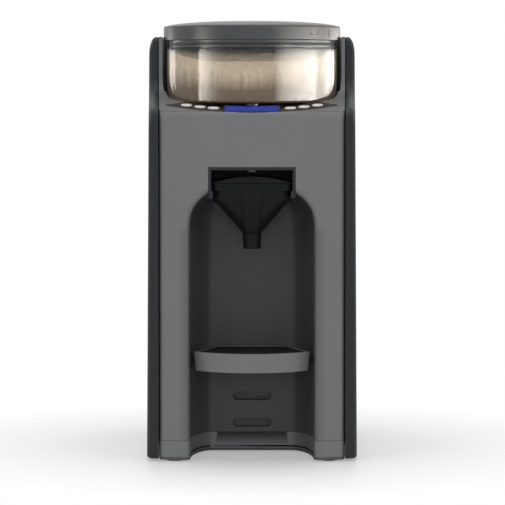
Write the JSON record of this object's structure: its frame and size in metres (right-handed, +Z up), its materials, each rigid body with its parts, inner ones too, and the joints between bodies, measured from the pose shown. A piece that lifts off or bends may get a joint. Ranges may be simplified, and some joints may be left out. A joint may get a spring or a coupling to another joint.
{
  "type": "baby formula maker",
  "caption": "Counter-top baby formula maker with a lidded powder hopper, tilted control panel, mixing funnel over a bottle bay with a height-set shelf, and a rear water tank.",
  "frame": {"origin": "middle of the overall box, on the surface that the feet stand on", "axes": "+Z up, the front with its bottle bay faces -Y, +X to the right seen from the front"},
  "size_m": [0.1968, 0.291, 0.3993],
  "materials": {
    "slate_housing": "fine satin moulded texture",
    "charcoal_liner": "fine satin moulded texture",
    "black_panel": "satin",
    "panel_gloss": "piano gloss",
    "clear_bowl": "clear moulded, polished",
    "smoky_lid": "smoke grey, polished",
    "milk_powder": "loose fine powder",
    "white_part": "semi gloss",
    "display_blue": "lit display behind a gloss window",
    "black_rubber": "matt",
    "steel_part": "plain",
    "board_green": "solder mask",
    "silicone": "translucent silicone"
  },
  "bodies": {
    "chassis": {"front_housing": "slate_housing", "bay_liner": "charcoal_liner", "base_plinth": "slate_housing", "bottom_cover": "black_panel", "foot_front_left": "black_rubber", "foot_front_right": "black_rubber", "foot_rear_left": "black_rubber", "foot_rear_right": "black_rubber", "left_side_panel": "black_panel", "right_side_panel": "black_panel", "rear_housing": "black_panel", "back_cover": "black_panel", "cover_screw_low_left": "steel_part", "cover_screw_low_right": "steel_part", "cover_screw_high_left": "steel_part", "cover_screw_high_right": "steel_part", "cord_gland": "black_rubber", "hopper_seat": "black_panel", "wheel_motor": "steel_part", "motor_bracket": "black_panel", "powder_chute": "white_part", "funnel_slot_frame": "black_panel", "water_nozzle": "white_part", "control_panel": "panel_gloss", "display_window": "display_blue", "control_board": "board_green", "main_board": "board_green", "power_supply": "board_green", "water_pump": "steel_part", "flow_sensor": "white_part", "water_heater": "steel_part", "tank_hose": "silicone", "pump_hose": "silicone", "outlet_hose": "silicone", "tank_seat_valve": "white_part"},
    "hopper": {"hopper_bowl": "clear_bowl", "hopper_base": "black_panel", "formula_powder": "milk_powder", "outlet_scraper": "silicone"},
    "stirring": {"powder_wheel": "white_part", "stirrer": "white_part"},
    "drive": {"drive_shaft": "steel_part"},
    "lid_ring": {"lid_seal": "silicone"},
    "lid": {"hopper_lid": "smoky_lid"},
    "tank": {"water_tank": "clear_bowl", "tank_seal": "silicone", "tank_hinge_pin": "steel_part"},
    "tank_cap": {"tank_lid": "smoky_lid"},
    "tank_valve": {"tank_outlet_valve": "white_part"},
    "funnel": {"mixing_funnel": "black_panel", "funnel_cover": "black_panel"},
    "shelf": {"bottle_shelf": "slate_housing", "shelf_mat": "black_rubber"},
    "switch": {"power_switch": "panel_gloss"},
    "button_left_inner": {"button_left_inner": "white_part"},
    "button_left_middle": {"button_left_middle": "white_part"},
    "button_left_outer": {"button_left_outer": "white_part"},
    "button_right_inner": {"button_right_inner": "white_part"},
    "button_right_middle": {"button_right_middle": "white_part"},
    "button_right_outer": {"button_right_outer": "white_part"}
  },
  "joints": [
    {"name": "hopper_lift", "type": "slide", "parent": "chassis", "child": "hopper", "axis": [0, 0, 1], "range_m": [0, 0.1]},
    {"name": "wheel_spin", "type": "hinge", "parent": "hopper", "child": "stirring", "pos_m": [0, -0.0255, 0.326], "axis": [0, 0, 1], "continuous": true},
    {"name": "drive_spin", "type": "hinge", "parent": "chassis", "child": "drive", "pos_m": [0, -0.0255, 0.312], "axis": [0, 0, 1], "continuous": true},
    {"name": "lid_lift", "type": "slide", "parent": "hopper", "child": "lid_ring", "axis": [0, 0, 1], "range_m": [0, 0.06]},
    {"name": "lid_twist", "type": "hinge", "parent": "lid_ring", "child": "lid", "pos_m": [0, -0.0255, 0.385], "axis": [0, 0, 1], "range_deg": [0, 25]},
    {"name": "tank_lift", "type": "slide", "parent": "chassis", "child": "tank", "axis": [0, 0, 1], "range_m": [0, 0.28]},
    {"name": "tank_lid_hinge", "type": "hinge", "parent": "tank", "child": "tank_cap", "pos_m": [0, 0.0675, 0.3799], "axis": [1, 0, 0], "range_deg": [0, 90]},
    {"name": "tank_valve_slide", "type": "slide", "parent": "tank", "child": "tank_valve", "axis": [0, 0, 1], "range_m": [0, 0.002], "stiffness_N_per_m": 60},
    {"name": "funnel_slide", "type": "slide", "parent": "chassis", "child": "funnel", "axis": [0, -1, 0], "range_m": [0, 0.09]},
    {"name": "shelf_slide", "type": "slide", "parent": "chassis", "child": "shelf", "axis": [0, -1, 0], "range_m": [0, 0.08]},
    {"name": "power_rocker", "type": "hinge", "parent": "chassis", "child": "switch", "pos_m": [0.042, 0.1315, 0.088], "axis": [1, 0, 0], "range_deg": [0, 11.4]},
    {"name": "press_left_inner", "type": "slide", "parent": "chassis", "child": "button_left_inner", "axis": [0, 0.1733, -0.9849], "range_m": [0, 0.0008], "stiffness_N_per_m": 250},
    {"name": "press_left_middle", "type": "slide", "parent": "chassis", "child": "button_left_middle", "axis": [0, 0.1733, -0.9849], "range_m": [0, 0.0008], "stiffness_N_per_m": 250},
    {"name": "press_left_outer", "type": "slide", "parent": "chassis", "child": "button_left_outer", "axis": [0, 0.1733, -0.9849], "range_m": [0, 0.0008], "stiffness_N_per_m": 250},
    {"name": "press_right_inner", "type": "slide", "parent": "chassis", "child": "button_right_inner", "axis": [0, 0.1733, -0.9849], "range_m": [0, 0.0008], "stiffness_N_per_m": 250},
    {"name": "press_right_middle", "type": "slide", "parent": "chassis", "child": "button_right_middle", "axis": [0, 0.1733, -0.9849], "range_m": [0, 0.0008], "stiffness_N_per_m": 250},
    {"name": "press_right_outer", "type": "slide", "parent": "chassis", "child": "button_right_outer", "axis": [0, 0.1733, -0.9849], "range_m": [0, 0.0008], "stiffness_N_per_m": 250}
  ],
  "couplings": [
    {"joint": "drive_spin", "follows": "wheel_spin", "ratio": 1}
  ]
}
